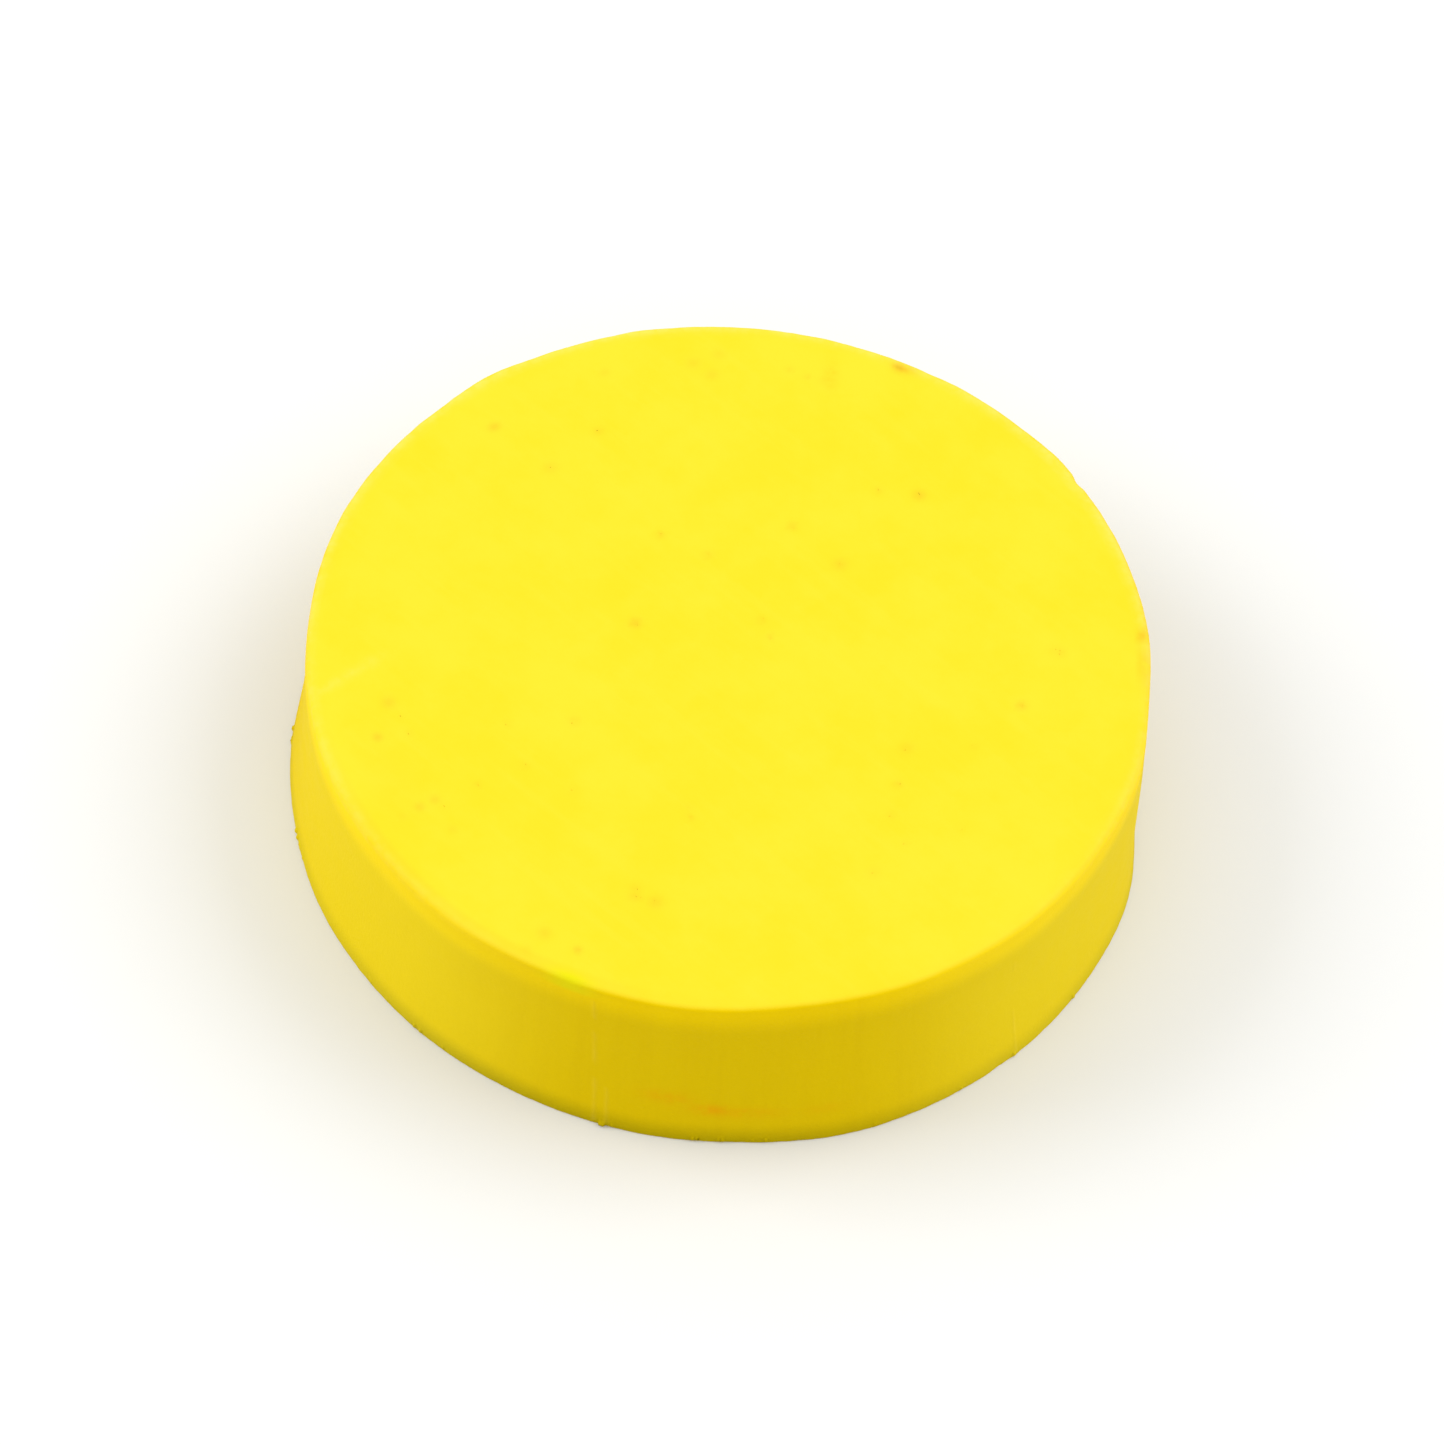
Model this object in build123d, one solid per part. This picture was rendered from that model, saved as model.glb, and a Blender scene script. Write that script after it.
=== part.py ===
"""A plain sliding disc for tabletop curling: one solid piece of yellow rubber, punched out of flat sheet.

The disc has no handle, band, insert or fastener, so the whole object is one solid and one node.
Frame: millimetres, +Z up, origin at the centre of the underside, so the disc lies on the plane Z = 0.
"""

from build123d import *
import os

# Driving dimensions, in millimetres.
foot_diameter = 40.0  # across the underside, where the cutting die came out of the sheet
thickness = 10.0  # thickness of the rubber sheet
wall_lean = 0.4  # how far the top edge stands inside the underside's edge, on each side
waist_depth = 0.25  # how far the wall is hollowed half way up, from the rubber bulging under the die
top_edge_radius = 0.25  # edge that the die drew in as it entered
foot_edge_radius = 0.08  # edge that the die left almost sharp as it came out

foot_radius = foot_diameter / 2
top_radius = foot_radius - wall_lean


def hollow_wall():
    """The wall's line from the underside's edge to the top edge, bowed in by waist_depth half way up."""
    waist_radius = (foot_radius + top_radius) / 2 - waist_depth
    return ThreePointArc((foot_radius, 0), (waist_radius, thickness / 2), (top_radius, thickness))


def half_section():
    """Half of the disc cut through its axis, drawn on the XZ plane."""
    underside = Line((0, 0), (foot_radius, 0))
    top_face = Line((top_radius, thickness), (0, thickness))
    axis_line = Line((0, thickness), (0, 0))
    return make_face(Plane.XZ * Curve([underside, hollow_wall(), top_face, axis_line]))


def punched_disc():
    """The half section turned about Z, with the two rims rounded."""
    disc = revolve(half_section(), Axis.Z)
    rims = disc.edges().filter_by(GeomType.CIRCLE).sort_by(Axis.Z)
    disc = fillet(rims[-1], top_edge_radius)
    foot_rim = disc.edges().filter_by(GeomType.CIRCLE).sort_by(Axis.Z)[0]
    return fillet(foot_rim, foot_edge_radius)


os.makedirs("parts", exist_ok=True)
export_step(punched_disc(), "parts/disc.step")
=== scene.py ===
import math
import random

import bpy
import numpy as np
from mathutils import Matrix, Vector


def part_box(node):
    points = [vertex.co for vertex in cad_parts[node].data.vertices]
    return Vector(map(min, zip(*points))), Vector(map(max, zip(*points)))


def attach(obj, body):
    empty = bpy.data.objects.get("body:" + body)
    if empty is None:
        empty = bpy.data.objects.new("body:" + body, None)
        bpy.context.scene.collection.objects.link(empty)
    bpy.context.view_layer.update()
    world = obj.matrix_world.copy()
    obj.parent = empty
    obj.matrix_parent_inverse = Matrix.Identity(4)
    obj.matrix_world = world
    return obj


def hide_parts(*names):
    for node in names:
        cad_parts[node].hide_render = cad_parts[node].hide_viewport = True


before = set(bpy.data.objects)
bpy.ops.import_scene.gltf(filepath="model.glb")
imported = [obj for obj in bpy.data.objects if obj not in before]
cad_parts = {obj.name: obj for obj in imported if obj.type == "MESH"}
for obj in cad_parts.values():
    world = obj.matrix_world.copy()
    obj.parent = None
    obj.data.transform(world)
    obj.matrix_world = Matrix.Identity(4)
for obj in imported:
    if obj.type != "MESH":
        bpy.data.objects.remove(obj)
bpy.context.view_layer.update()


# ---- The disc ----------------------------------------------------------------------------------------
# A solid disc of yellow rubber, 10 mm thick, punched out of calendered sheet with a steel cutting die.
# The rubber bulges under the die, so the cut wall comes out hollow, with a rounded edge where the die
# went in and a nearly sharp, slightly ragged one where it came out. Nothing is fixed to it.

mm = 0.001
disc_low, disc_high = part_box("disc")
thickness = disc_high.z - disc_low.z
foot_radius = (disc_high.x - disc_low.x) / 2
wall_lean = 0.33 * mm
waist_depth = 0.25 * mm
top_edge_round = 0.28 * mm
foot_edge_round = 0.08 * mm
rim_droop = 0.05 * mm
droop_width = 1.3 * mm
roll_height = 1.7 * mm
roll_depth = 0.15 * mm
top_radius = foot_radius - wall_lean

rim_steps = 640
foot_rings = 3
wall_rings = 36
edge_rings = 6
droop_rings = 5
edge_turn = 86
wall_twist = math.radians(-1.8)
hair = 0.001 * mm


def wall_radius(height):
    """The hollow wall's radius at a height above the underside, rolled in a little at the top edge."""
    share = height / thickness
    roll = max(0, height - thickness + roll_height) / roll_height
    return foot_radius - wall_lean * share - waist_depth * 4 * share * (1 - share) - roll_depth * roll**2


def disc_rings():
    """The disc's rings from the underside to the top face, each a radius and a height."""
    rings = []
    for step in range(foot_rings + 1):
        turn = math.radians(90 * step / foot_rings)
        height = foot_edge_round * (1 - math.cos(turn))
        rings.append((wall_radius(height) - foot_edge_round * (1 - math.sin(turn)), height))
    wall_top = thickness - rim_droop - top_edge_round
    for step in range(1, wall_rings + 1):
        height = foot_edge_round + (wall_top - foot_edge_round) * step / wall_rings
        rings.append((wall_radius(height), height))
    round_centre = wall_radius(wall_top) - top_edge_round
    for step in range(1, edge_rings + 1):
        turn = math.radians(edge_turn * step / edge_rings)
        round_radius = round_centre + top_edge_round * math.cos(turn)
        rings.append((round_radius, wall_top + top_edge_round * math.sin(turn)))
    edge_radius, edge_height = rings[-1]
    for step in range(1, droop_rings + 1):
        share = step / droop_rings
        rise = (thickness - edge_height) * math.sin(math.radians(90 * share))
        rings.append((edge_radius - droop_width * share, edge_height + rise))
    return rings


def points_of(piece):
    """The piece's vertices as rows of x, y and z, with the piece left in object mode."""
    bpy.ops.object.mode_set(mode="OBJECT")
    rows = np.empty(len(piece.data.vertices) * 3)
    piece.data.vertices.foreach_get("co", rows)
    return rows.reshape(-1, 3)


def select_points(piece, chosen):
    """Selects the chosen vertices, a row of true and false, and leaves the piece in edit mode."""
    bpy.ops.object.mode_set(mode="OBJECT")
    piece.data.vertices.foreach_set("select", np.asarray(chosen, bool))
    for kind in (piece.data.edges, piece.data.polygons):
        kind.foreach_set("select", np.zeros(len(kind), bool))
    bpy.ops.object.mode_set(mode="EDIT")
    bpy.ops.mesh.select_mode(type="VERT")


def nearest_points(piece, places):
    """Says, for each vertex, whether it is the nearest one to any of the places."""
    rows = points_of(piece)
    chosen = np.zeros(len(rows), bool)
    for place in places:
        chosen[((rows - np.array(place)) ** 2).sum(1).argmin()] = True
    return chosen


def edge_place(direction, height):
    """The place on the wall at a direction round the disc, in degrees, and a height."""
    turn = math.radians(direction)
    return (wall_radius(height) * math.cos(turn), wall_radius(height) * math.sin(turn), height)


# The plain turned shape, ring by ring, with both faces still open.
bpy.ops.object.select_all(action="DESELECT")
rings = disc_rings()
bpy.ops.mesh.primitive_circle_add(vertices=rim_steps, radius=rings[0][0], fill_type="NOTHING")
disc = bpy.context.object
disc.name = "punched_disc"
bpy.ops.object.mode_set(mode="EDIT")
bpy.ops.mesh.select_mode(type="VERT")
for (below, low), (above, high) in zip(rings, rings[1:]):
    bpy.ops.mesh.extrude_region_move(TRANSFORM_OT_translate={"value": (0, 0, high - low)})
    bpy.ops.transform.resize(value=(above / below, above / below, 1))
    bpy.ops.transform.rotate(
        value=-wall_twist * (high - low) / thickness, orient_axis="Z", center_override=(0, 0, 0)
    )

# Where the sheet gave way unevenly under the die: direction in degrees, how far out and how far it spreads,
# both in millimetres.
top_edge_pushes = [
    (0, -0.20, 5), (40, 0.15, 9), (44, 0.10, 2.5), (39, -0.10, 0.6), (60, 0.10, 6), (66, -0.05, 0.8),
    (107, 0.05, 1.5), (130, 0.15, 3), (185, -0.15, 9), (235, 0.10, 5), (285, -0.15, 6), (320, 0.05, 5),
]
foot_edge_pushes = [
    (0, -0.20, 5), (10, -0.30, 9), (195, -0.10, 6), (220, -0.10, 8), (245, -0.10, 8), (290, 0.10, 5),
    (300, 0.15, 9), (315, -0.05, 1), (320, 0.05, 5),
]
pushes = [(thickness - top_edge_round, *push) for push in top_edge_pushes]
pushes += [(foot_edge_round, *push) for push in foot_edge_pushes]
for height, direction, out, reach in pushes:
    select_points(disc, nearest_points(disc, [edge_place(direction, height)]))
    turn = math.radians(direction)
    bpy.ops.transform.translate(
        value=(out * mm * math.cos(turn), out * mm * math.sin(turn), 0),
        use_proportional_edit=True,
        proportional_edit_falloff="SMOOTH",
        proportional_size=reach * mm,
    )

# The two faces of the sheet.
for face_height in (thickness, 0):
    select_points(disc, np.abs(points_of(disc)[:, 2] - face_height) < hair)
    bpy.ops.mesh.fill_grid(span=rim_steps // 4)
bpy.ops.mesh.select_all(action="SELECT")
bpy.ops.mesh.normals_make_consistent(inside=False)


def raise_and_sink(name, chosen, grain, depth, lie=None):
    """Raises and sinks the chosen vertices by up to half the depth, in soft lumps of the grain's size."""
    select_points(disc, chosen)
    bpy.ops.object.vertex_group_assign_new()
    disc.vertex_groups.active.name = name
    bpy.ops.mesh.select_all(action="SELECT")
    bpy.ops.object.vertex_group_smooth(group_select_mode="ACTIVE", factor=0.5, repeat=4)
    bpy.ops.object.mode_set(mode="OBJECT")
    lumps = bpy.data.textures.new(name, "CLOUDS")
    lumps.noise_scale = grain
    bpy.ops.object.modifier_add(type="DISPLACE")
    relief = disc.modifiers[-1]
    relief.texture = lumps
    relief.strength = depth
    relief.vertex_group = name
    if lie is not None:
        relief.texture_coords = "OBJECT"
        relief.texture_coords_object = lie
    bpy.ops.object.modifier_apply(modifier=relief.name)


def lie_of(name, stretch, turn):
    """A marker whose own axes carry a relief's grain, so that it can be drawn out and turned."""
    bpy.ops.object.mode_set(mode="OBJECT")
    marker = bpy.data.objects.new(name, None)
    bpy.context.scene.collection.objects.link(marker)
    marker.scale = stretch
    marker.rotation_euler = (0, 0, turn)
    bpy.context.view_layer.update()
    return marker


# The sheet's slight waves, the lines that the rollers and the slitting knife drew across it, the drag of the
# die down the wall, and the small scallops of both cut edges.
roller_turn = math.radians(-39)
roller_lie = lie_of("roller_lie", (14, 1, 1), roller_turn)
drag_lie = lie_of("drag_lie", (1, 1, 18), 0)
rows = points_of(disc)
radii = np.hypot(rows[:, 0], rows[:, 1])
heights = rows[:, 2]
on_faces = (radii < top_radius - 1.2 * mm) & ((heights > thickness - 0.1 * mm) | (heights < hair))
on_wall = (heights > 0.5 * mm) & (heights < thickness - 0.6 * mm)
on_top_edge = (heights > thickness - 0.5 * mm) & (radii > top_radius - 0.7 * mm)
on_foot_edge = (heights < 0.3 * mm) & (radii > foot_radius - 0.3 * mm)
raise_and_sink("sheet_waves", on_faces & (heights > hair), 6 * mm, 0.05 * mm)
raise_and_sink("roller_lines", on_faces, 0.9 * mm, 0.004 * mm, roller_lie)
raise_and_sink("die_drag", on_wall, 0.5 * mm, 0.006 * mm, drag_lie)
raise_and_sink("wall_waves", on_wall, 4 * mm, 0.06 * mm)
raise_and_sink("rim_scallops", on_top_edge, 0.9 * mm, 0.05 * mm)
raise_and_sink("ragged_foot", on_foot_edge, 0.6 * mm, 0.05 * mm)
for marker in (roller_lie, drag_lie):
    bpy.data.objects.remove(marker)

# Witness lines: where the ends of the die's steel strip meet, a fine ridge is left down the wall, in
# stretches: direction in degrees, and the heights in millimetres that it runs from and to. One pair of ridges
# ends in a nib at the foot, and the other ridge is alone.
ridge_stretches = [
    (-102.0, 0.3, 3.2), (-102.0, 4.1, 6.6), (-102.0, 7.6, 8.9), (-100.0, 0.3, 2.6), (-42.2, 0.3, 3.4),
    (-42.2, 6.6, 7.3),
]
ridge_width = 0.08 * mm
ridge_height = 0.014 * mm
on_ridge = 0.06 * mm
column = math.radians(360 / rim_steps)


def column_gap(direction):
    """How far each vertex of the wall lies, round the disc, from the column nearest to a direction.

    Every vertex that isn't on the wall counts as a metre away.
    """
    rows = points_of(disc)
    foot_turn = round(math.radians(direction) / column) * column
    turns = np.arctan2(rows[:, 1], rows[:, 0]) - wall_twist * rows[:, 2] / thickness
    on_column = (rows[:, 2] > 0.3 * mm) & (rows[:, 2] < thickness - 0.5 * mm)
    return np.where(on_column, np.abs(turns - foot_turn) * foot_radius, 1)


for direction in sorted({stretch[0] for stretch in ridge_stretches}):
    select_points(disc, column_gap(direction) < on_ridge)
    bpy.ops.mesh.bevel(offset=ridge_width / 2, segments=2, affect="EDGES")
for direction, low, high in ridge_stretches:
    heights = points_of(disc)[:, 2] / mm
    crest = (column_gap(direction) < ridge_width / 5) & (heights > low) & (heights < high)
    select_points(disc, crest)
    bpy.ops.transform.shrink_fatten(value=ridge_height)


def select_upright_faces(piece, places):
    """Selects the upright faces nearest to the places and leaves the piece in edit mode."""
    bpy.ops.object.mode_set(mode="OBJECT")
    centres = np.empty(len(piece.data.polygons) * 3)
    piece.data.polygons.foreach_get("center", centres)
    centres = centres.reshape(-1, 3)
    normals = np.empty(len(piece.data.polygons) * 3)
    piece.data.polygons.foreach_get("normal", normals)
    leaning = np.abs(normals.reshape(-1, 3)[:, 2]) > 0.3
    chosen = np.zeros(len(centres), bool)
    for place in places:
        gaps = ((centres - np.array(place)) ** 2).sum(1)
        gaps[leaning] = 1
        chosen[gaps.argmin()] = True
    piece.data.vertices.foreach_set("select", np.zeros(len(piece.data.vertices), bool))
    piece.data.edges.foreach_set("select", np.zeros(len(piece.data.edges), bool))
    piece.data.polygons.foreach_set("select", chosen)
    bpy.ops.object.mode_set(mode="EDIT")
    bpy.ops.mesh.select_mode(type="FACE")


# The nib at the foot of the pair of ridges, and the crumbs that the die tore loose along the foot, each
# stretch of them from one direction to another, with how many of each size.
crumb_draw = random.Random(11)
crumb_height = 0.2 * mm
select_upright_faces(disc, [edge_place(direction, crumb_height) for direction in (-101.1, -100.6)])
for reach in (0.09 * mm, 0.08 * mm):
    bpy.ops.mesh.inset(thickness=0.04 * mm, depth=reach)
    bpy.ops.transform.translate(value=(0, 0, -0.02 * mm))
crumb_stretches = [(178, 182, 2), (195, 200, 3), (215, 250, 2), (258, 285, 4), (290, 350, 2), (0, 170, 9)]
for size in (0.35, 0.65):
    crumbs = []
    for start, end, count in crumb_stretches:
        for _ in range(count):
            crumbs.append(edge_place(crumb_draw.uniform(start, end), crumb_height))
    select_upright_faces(disc, crumbs)
    for narrowing in (0.03 * mm, 0.04 * mm):
        bpy.ops.mesh.inset(use_individual=True, thickness=narrowing, depth=0.07 * size * mm)
bpy.ops.mesh.select_mode(type="VERT")

# Pinholes in both faces of the sheet, placed in millimetres from the middle: a few bold ones, and loose
# clusters of fine ones, each with its place, spread and count. Further out than open_within the mesh is too
# skewed for a clean hole, so the pinholes there are specks of colour only.
pit_draw = random.Random(5)
bold_pits = [
    (13.5, -1.0), (-15.3, -4.4), (-12.0, 12.0), (8.0, 10.5), (-5.5, -17.0), (-4.5, 1.5), (-15.6, -6.4),
]
pit_clusters = [
    (-2.5, 17.5, 1.0, 4), (2.0, 17.0, 1.5, 3), (-14.5, -6.0, 0.8, 3), (15.0, 2.5, 1.0, 4),
    (-9.0, -8.0, 2.5, 4), (-8.0, 13.0, 2.5, 3), (-3.0, -14.0, 1.0, 4), (1.5, 2.0, 1.0, 2),
    (-1.0, -9.0, 0.8, 2), (8.0, -4.0, 4.0, 3), (4.0, 6.0, 4.0, 3), (-13.0, -10.5, 1.2, 5),
    (-8.0, -16.5, 0.8, 2), (10.0, -9.0, 3.0, 4), (-3.0, 5.0, 6.0, 3),
]
fine_pits = []
for x, y, spread, count in pit_clusters:
    for _ in range(count):
        fine_pits.append((x + pit_draw.gauss(0, spread / 2), y + pit_draw.gauss(0, spread / 2)))
under_pits = [(pit_draw.uniform(-13, 13), pit_draw.uniform(-13, 13)) for _ in range(40)]
open_within = 15.8

# Each set's places and face, then half width and depth in millimetres, and its faintest and strongest stain.
pit_sets = [
    (bold_pits, thickness, 0.13, 0.014, 0.40, 0.75),
    (fine_pits, thickness, 0.08, 0.008, 0.05, 0.45),
    (under_pits, 0, 0.09, 0.015, 0.05, 0.45),
]
for places, face_height, half_width, depth, _, _ in pit_sets:
    open_pits = [(x * mm, y * mm, face_height) for x, y in places if math.hypot(x, y) < open_within]
    select_points(disc, nearest_points(disc, open_pits))
    bpy.ops.mesh.bevel(offset=half_width * mm, segments=2, affect="VERTICES")
    for share in (0.6, 0.4):
        bpy.ops.mesh.inset(thickness=0.25 * half_width * mm, depth=-share * depth * mm)

bpy.ops.mesh.select_all(action="SELECT")
bpy.ops.mesh.normals_make_consistent(inside=False)
bpy.ops.object.mode_set(mode="OBJECT")
bpy.ops.object.shade_smooth()

# Stains, wear, paler marks and painted light and shade, kept with the mesh for the rubber's colour to follow:
# brown grime in the pinholes, red rust smears, a greenish fresh smear, paler places on the rim and the face,
# and painted light and shade on the wall.
rows = points_of(disc) / mm
directions = np.degrees(np.arctan2(rows[:, 1], rows[:, 0]))
radii = np.hypot(rows[:, 0], rows[:, 1])
top_height = thickness / mm
on_top = rows[:, 2] > top_height - 0.6
on_side = rows[:, 2] < top_height - 0.1


def keep_on_mesh(name, amounts):
    """Keeps one number for each vertex of the disc, under a name that the rubber's colour reads."""
    kept = disc.data.attributes.new(name, "FLOAT", "POINT")
    kept.data.foreach_set("value", np.clip(amounts, 0, 1).astype(np.float32))


def around(direction, spread, sharpness=4):
    """How near each vertex lies to a direction round the disc: 1 there, and down to 0 past the spread.

    It isn't carried on across 180 degrees, which leaves a step in the wall's colour at the back left.
    """
    return np.exp(-(((directions - direction) / spread) ** sharpness))


def at_height(height, spread):
    """How near each vertex lies to a height: 1 there, and down to 0 past the spread."""
    return np.exp(-(((rows[:, 2] - height) / spread) ** 2))


def face_smudge(x, y, length, width, turn):
    """A soft oval on the top face, drawn out along a direction in degrees."""
    across, up = rows[:, 0] - x, rows[:, 1] - y
    lean = math.radians(turn)
    along = across * math.cos(lean) + up * math.sin(lean)
    aside = up * math.cos(lean) - across * math.sin(lean)
    return on_top * np.exp(-((along / length) ** 2) - (aside / width) ** 2)


def wall_smudge(direction, height, length, width):
    """A soft oval on the wall, drawn out round the disc."""
    along = np.radians((directions - direction + 180) % 360 - 180) * foot_radius / mm
    return on_side * np.exp(-((along / length) ** 2)) * at_height(height, width)


grime = 1.3 * face_smudge(6.5, 17.9, 0.26, 0.20, -20)
grime = np.maximum(grime, 0.06 * face_smudge(-15.0, -8.5, 3.0, 1.5, 120))
for places, face_height, half_width, depth, faintest, strongest in pit_sets:
    near_face = np.abs(rows[:, 2] - face_height / mm) < 0.3
    for x, y in places:
        strength = pit_draw.uniform(faintest, strongest)
        halo = pit_draw.uniform(0.16, 0.34)
        distance = np.hypot(rows[:, 0] - x, rows[:, 1] - y)
        grime = np.maximum(grime, strength * near_face * np.exp(-((distance / halo) ** 2)))
keep_on_mesh("grime", grime)

# How strong each smear is, then where it lies and how far it spreads.
wall_rust = [
    (0.5, -92.4, 2.9, 1.1, 0.45), (0.85, -86.4, 2.25, 0.9, 0.34), (0.45, -83.0, 2.1, 2.0, 0.34),
    (0.25, -71.5, 2.1, 0.9, 0.30),
]
face_rust = [
    (0.30, 3.4, 17.0, 0.75, 0.30, 95), (0.6, 6.8, 17.9, 0.55, 0.26, -20), (0.75, 18.8, 3.7, 0.4, 0.25, 90),
    (0.4, 18.95, 2.0, 1.0, 0.25, 95),
]
rust = np.zeros(len(rows))
for strength, *smear_place in wall_rust:
    rust = np.maximum(rust, strength * wall_smudge(*smear_place))
for strength, *smear_place in face_rust:
    rust = np.maximum(rust, strength * face_smudge(*smear_place))
keep_on_mesh("rust", rust)
keep_on_mesh("fresh", face_smudge(-5.7, -18.5, 1.1, 0.35, -18))

# A shade painted along the upper corner, mostly at the left front. It is colour, and stays in any light.
corner = at_height(top_height - 0.25, 0.26) * (radii > 18.9)
under_corner = at_height(top_height - 0.45, 0.36) * (rows[:, 2] < top_height - 0.07)
edge_shade = corner * (0.15 + 0.85 * around(-125, 26))
edge_shade = np.maximum(edge_shade, 0.6 * under_corner * around(-33, 20))
edge_shade = np.maximum(edge_shade, wall_smudge(-127, top_height - 0.45, 5.5, 0.5))
keep_on_mesh("edge_shade", edge_shade)

# The paler places: a line along the rim away from the front, two worn scuffs on the face, and the worn ridge
# crests.
pale_rim = np.exp(-(((radii - 19.42) / 0.30) ** 2)) * (rows[:, 2] > top_height - 0.5)
wear_and_pale_rim = pale_rim * (0.42 * (1 - around(-80, 62)) + 0.35 * (1 - around(-90, 95, sharpness=8)))
wear_and_pale_rim = np.maximum(wear_and_pale_rim, 0.40 * face_smudge(-17.6, -3.4, 2.0, 0.26, 43))
wear_and_pale_rim = np.maximum(wear_and_pale_rim, 0.30 * face_smudge(-16.4, -2.3, 0.5, 0.30, 43))
for direction, low, high in ridge_stretches:
    along_ridge = (rows[:, 2] > low) & (rows[:, 2] < high)
    wear_and_pale_rim = np.maximum(wear_and_pale_rim, 0.12 * along_ridge * np.exp(-((column_gap(direction) / on_ridge) ** 2)))
keep_on_mesh("wear_and_pale_rim", wear_and_pale_rim)

# Painted light and shadow on the cut wall: paler towards both sides, and a painted shadow darker at its foot,
# most of all at the front.
keep_on_mesh("painted_side_light", around(-147, 33) + around(-25, 32))
keep_on_mesh("foot_shade", 0.45 + 0.55 * around(-100, 38))

# The rubber itself.
rubber = bpy.data.materials.new("yellow_rubber")
rubber.use_nodes = True
tree = rubber.node_tree
shader = tree.nodes["Principled BSDF"]


def node(kind, settings=None, **inputs):
    """A node of the rubber, with its settings made and its named inputs joined or set."""
    made = tree.nodes.new("ShaderNode" + kind)
    for name, value in (settings or {}).items():
        setattr(made, name, value)
    for name, value in inputs.items():
        socket = made.inputs[name.replace("_", " ")]
        if isinstance(value, bpy.types.NodeSocket):
            tree.links.new(value, socket)
        else:
            socket.default_value = value
    return made


def sum_of(operation, first, second):
    """The result of one sum on two numbers or node outputs."""
    made = node("Math", {"operation": operation})
    for socket, value in zip(made.inputs, (first, second)):
        if isinstance(value, bpy.types.NodeSocket):
            tree.links.new(value, socket)
        else:
            socket.default_value = value
    return made.outputs[0]


def fade(value, start, end, low=0.0, high=1.0):
    """A soft step from low to high as the value goes from start to end."""
    made = node("MapRange", {"interpolation_type": "SMOOTHSTEP"})
    tree.links.new(value, made.inputs["Value"])
    for name, number in (("From Min", start), ("From Max", end), ("To Min", low), ("To Max", high)):
        made.inputs[name].default_value = number
    return made.outputs["Result"]


def tint(under, over, amount, way="MIX"):
    """One colour laid over another by an amount."""
    made = node("Mix", {"data_type": "RGBA", "blend_type": way})
    for socket, value in ((made.inputs[0], amount), (made.inputs[6], under), (made.inputs[7], over)):
        if isinstance(value, bpy.types.NodeSocket):
            tree.links.new(value, socket)
        else:
            socket.default_value = value
    return made.outputs[2]


def lumps(place, grain, detail=2.0, rough=0.5):
    """Soft noise with lumps of the grain's size, in millimetres."""
    return node("TexNoise", Vector=place, Scale=1 / grain, Detail=detail, Roughness=rough).outputs["Fac"]


lemon = (0.740, 0.578, 0.024, 1)
golden = (0.735, 0.560, 0.016, 1)
streak_pale = (0.750, 0.585, 0.030, 1)
cut_yellow = (0.660, 0.468, 0.0003, 1)
cut_shade = (0.645, 0.452, 0.0003, 1)
cut_side_light = (0.755, 0.575, 0.0120, 1)
painted_top_light = (1.19, 1.17, 1.00, 1)
shaded_edge = (0.90, 0.89, 0.85, 1)
foot_shadow = (0.66, 0.70, 1.00, 1)
grime_brown = (0.50, 0.320, 0.015, 1)
rust_red = (0.72, 0.320, 0.0005, 1)
fresh_lemon = (0.64, 0.590, 0.004, 1)
pale_tint = (0.78, 0.605, 0.095, 1)
grain_shade = (0.965, 0.965, 0.965, 1)

in_millimetres = (1 / mm, 1 / mm, 1 / mm)
place = node("Mapping", Vector=node("TexCoord").outputs["Object"], Scale=in_millimetres).outputs[0]
height = node("SeparateXYZ", Vector=place).outputs["Z"]
across_rollers = node("Mapping", Vector=place, Rotation=(0, 0, -roller_turn)).outputs[0]
drawn_out = node("Mapping", Vector=across_rollers, Scale=(0.10, 1, 1)).outputs[0]
down_wall = node("Mapping", Vector=place, Scale=(1, 1, 0.05)).outputs[0]

mottle = lumps(place, 4.0, detail=5.0, rough=0.6)
streak = lumps(drawn_out, 0.9, detail=4.0, rough=0.65)
speck = lumps(place, 0.14, detail=1.0)
drag = lumps(down_wall, 0.9, detail=3.0, rough=0.6)
smear = lumps(place, 0.6, detail=3.0, rough=0.6)


def kept(name, strength):
    """A number kept on the mesh, as an amount of colour to lay on."""
    return sum_of("MULTIPLY", node("Attribute", {"attribute_name": name}).outputs["Fac"], strength)


sheet_colour = tint(golden, lemon, fade(mottle, 0.30, 0.70))
sheet_colour = tint(sheet_colour, streak_pale, fade(streak, 0.45, 0.80, 0.0, 0.35))
cut_colour = tint(cut_yellow, cut_shade, fade(drag, 0.35, 0.75))
# Painted light: the cut wall paler towards both sides.
cut_colour = tint(cut_colour, cut_side_light, kept("painted_side_light", 0.8))
# Painted light: the cut wall brighter towards the rolled top edge.
top_light_amount = fade(height, top_height - 2.2, top_height - 0.3)
cut_colour = tint(cut_colour, painted_top_light, top_light_amount, "MULTIPLY")
# Painted shadow: the cut wall darker at its foot, most of all at the front.
foot_amount = sum_of("MULTIPLY", fade(height, 1.4, 0.0), kept("foot_shade", 1.0))
cut_colour = tint(cut_colour, foot_shadow, foot_amount, "MULTIPLY")
cut_colour = tint(cut_colour, grain_shade, speck, "MULTIPLY")
on_top_face = fade(height, top_height - 0.22, top_height - 0.045)
on_face = sum_of("MAXIMUM", on_top_face, fade(height, 0.06, 0.01))
colour = tint(cut_colour, sheet_colour, on_face)
colour = tint(colour, shaded_edge, kept("edge_shade", 1.0), "MULTIPLY")

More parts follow.
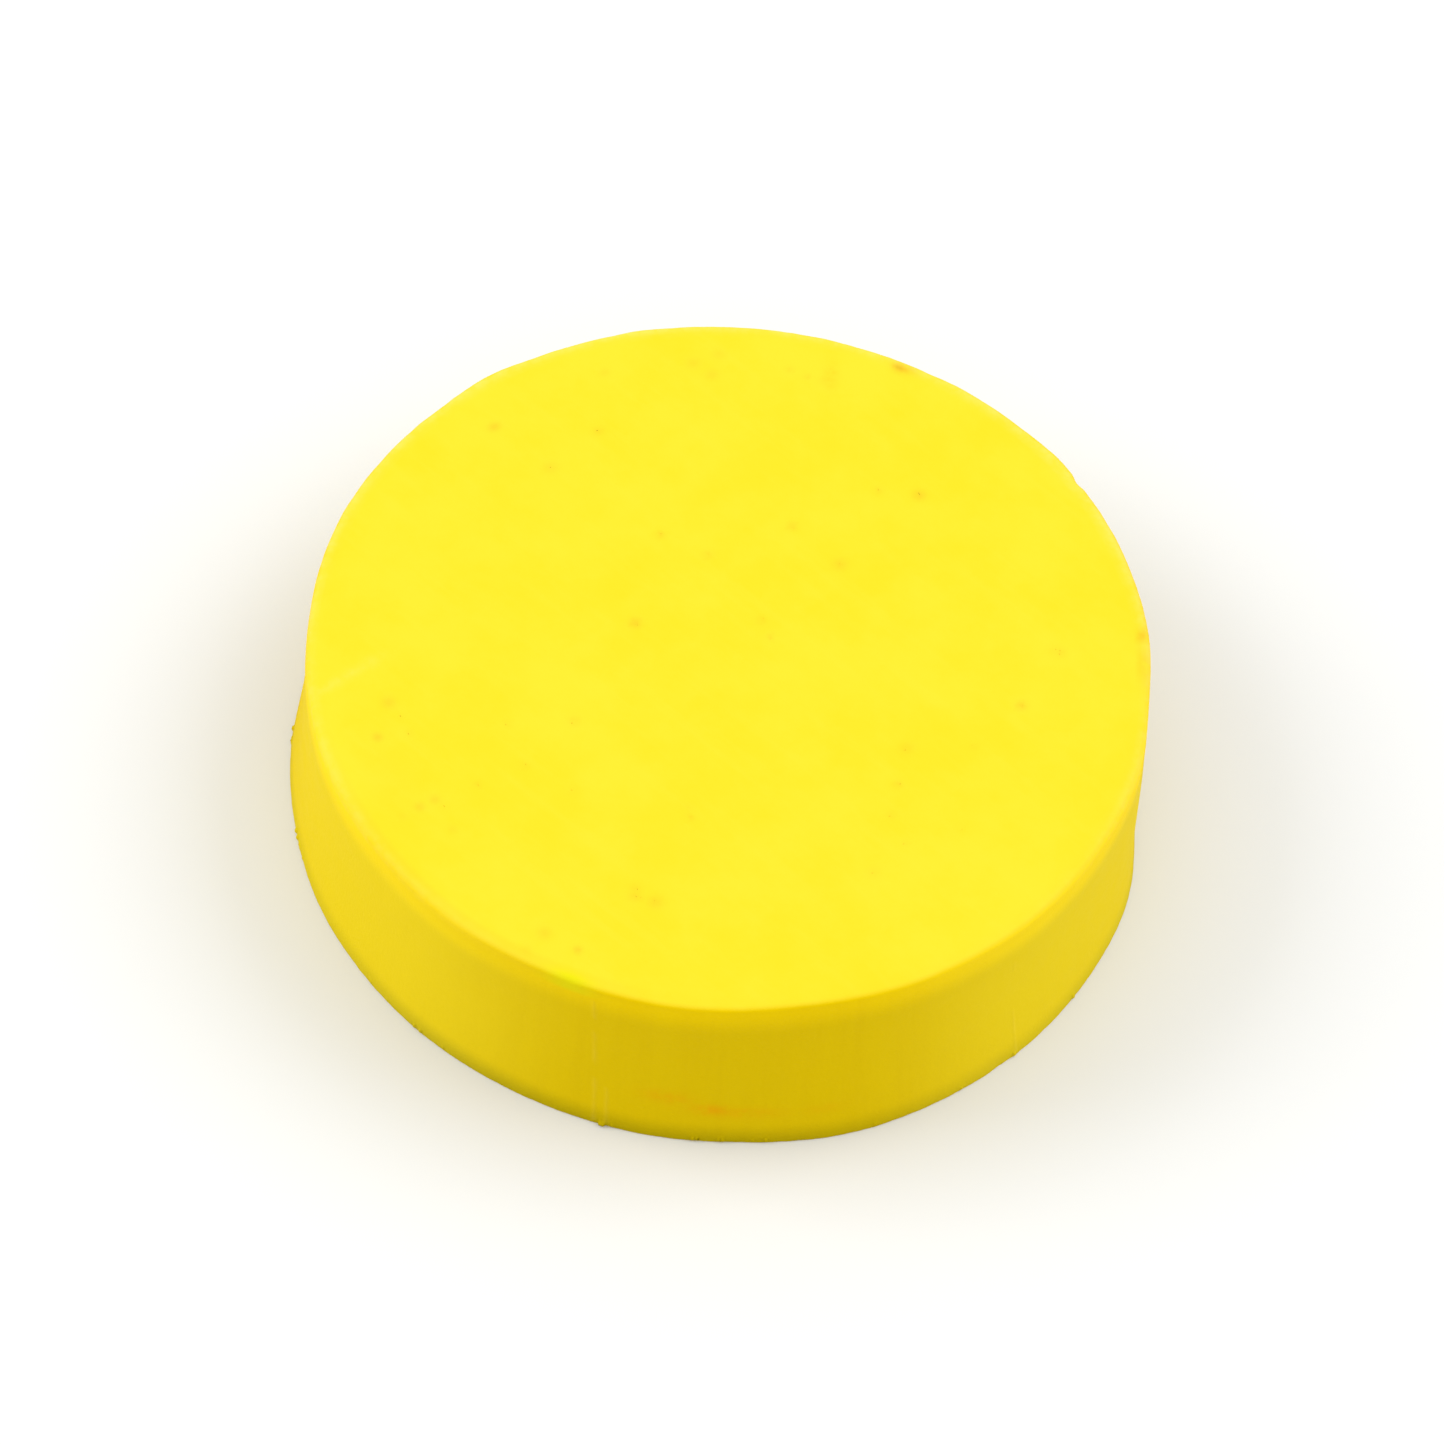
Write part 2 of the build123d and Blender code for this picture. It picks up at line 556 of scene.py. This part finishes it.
rust_amount = sum_of("MULTIPLY", kept("rust", 0.9), fade(smear, 0.30, 0.60, 0.35, 1.0))
pale_amount = sum_of("MULTIPLY", kept("wear_and_pale_rim", 1.0), fade(smear, 0.30, 0.70, 0.3, 1.0))
colour = tint(colour, pale_tint, pale_amount)
colour = tint(colour, fresh_lemon, kept("fresh", 0.95))
colour = tint(colour, rust_red, rust_amount)
colour = tint(colour, grime_brown, kept("grime", 0.6))
tree.links.new(colour, shader.inputs["Base Color"])

roughness = sum_of("ADD", fade(streak, 0.3, 0.7, 0.52, 0.60), fade(speck, 0.2, 0.8, -0.02, 0.04))
tree.links.new(roughness, shader.inputs["Roughness"])
shader.inputs["Specular IOR Level"].default_value = 0.015
grain_depth = sum_of("MULTIPLY", speck, fade(on_face, 0.0, 1.0, 1.0, 0.35))
grain_bump = node("Bump", Height=grain_depth, Strength=0.7, Distance=0.02 * mm)
line_bump = node("Bump", Height=streak, Strength=0.15, Distance=0.02 * mm, Normal=grain_bump.outputs[0])
tree.links.new(line_bump.outputs[0], shader.inputs["Normal"])
disc.data.materials.append(rubber)

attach(disc, "root")
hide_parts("disc")


# ---- The ground --------------------------------------------------------------------------------------
# A plain sheet of white board, far wider than the disc, which is not part of the object.

board_width = 4.0
bpy.ops.object.select_all(action="DESELECT")
bpy.ops.mesh.primitive_plane_add(size=board_width, location=(0, 0, 0))
board = bpy.context.object
board.name = "white_board"
board_paint = bpy.data.materials.new("white_board")
board_paint.use_nodes = True
board_shader = board_paint.node_tree.nodes["Principled BSDF"]
board_shader.inputs["Base Color"].default_value = (0.70, 0.70, 0.70, 1)
board_shader.inputs["Roughness"].default_value = 0.9
board_shader.inputs["Specular IOR Level"].default_value = 0.0
board.data.materials.append(board_paint)


# ---- The light ---------------------------------------------------------------------------------------
# A bright white tent all round, with one soft box low on the left and one higher on the right.

surround_strength = 1.0
box_distance = 0.8

surround = bpy.data.worlds.new("white_surround")
surround.use_nodes = True
surround.node_tree.nodes["Background"].inputs["Color"].default_value = (0.99, 1.0, 0.99, 1)
surround.node_tree.nodes["Background"].inputs["Strength"].default_value = surround_strength
bpy.context.scene.world = surround


def soft_box(name, direction, elevation, width, power):
    """A square soft box that looks at the disc from a direction and an elevation, both in degrees."""
    turn = math.radians(direction)
    lift = math.radians(elevation)
    place = Vector((math.cos(turn) * math.cos(lift), math.sin(turn) * math.cos(lift), math.sin(lift)))
    bpy.ops.object.select_all(action="DESELECT")
    bpy.ops.object.light_add(type="AREA", location=place * box_distance)
    box = bpy.context.object
    box.name = name
    box.data.shape = "SQUARE"
    box.data.size = width
    box.data.energy = power
    box.rotation_euler = place.to_track_quat("Z", "Y").to_euler()
    box.visible_camera = False


soft_box("left_box", 176, 38, 0.5, 2.9)
soft_box("right_box", 15, 50, 0.6, 2.7)


# ---- The camera --------------------------------------------------------------------------------------
# A long lens from the front, 54 degrees above the ground, held a few degrees off level.

lens_length = 249.0
camera_elevation = math.radians(53.9)
camera_roll = math.radians(5.72)
camera_distance = 0.4625
aim = Vector((-0.05 * mm, 0, thickness / 2))

camera_back = Vector((0, -math.cos(camera_elevation), math.sin(camera_elevation))) * camera_distance
camera_tilt = Matrix.Rotation(math.pi / 2 - camera_elevation, 4, "X") @ Matrix.Rotation(camera_roll, 4, "Z")
bpy.ops.object.select_all(action="DESELECT")
bpy.ops.object.camera_add(location=aim + camera_back, rotation=camera_tilt.to_euler())
camera = bpy.context.object
camera.data.lens = lens_length
camera.data.sensor_width = 36.0
camera.data.clip_start = 0.01
camera.data.clip_end = 20.0
camera.data.dof.use_dof = False
bpy.context.scene.camera = camera
bpy.context.scene.view_settings.view_transform = "Standard"
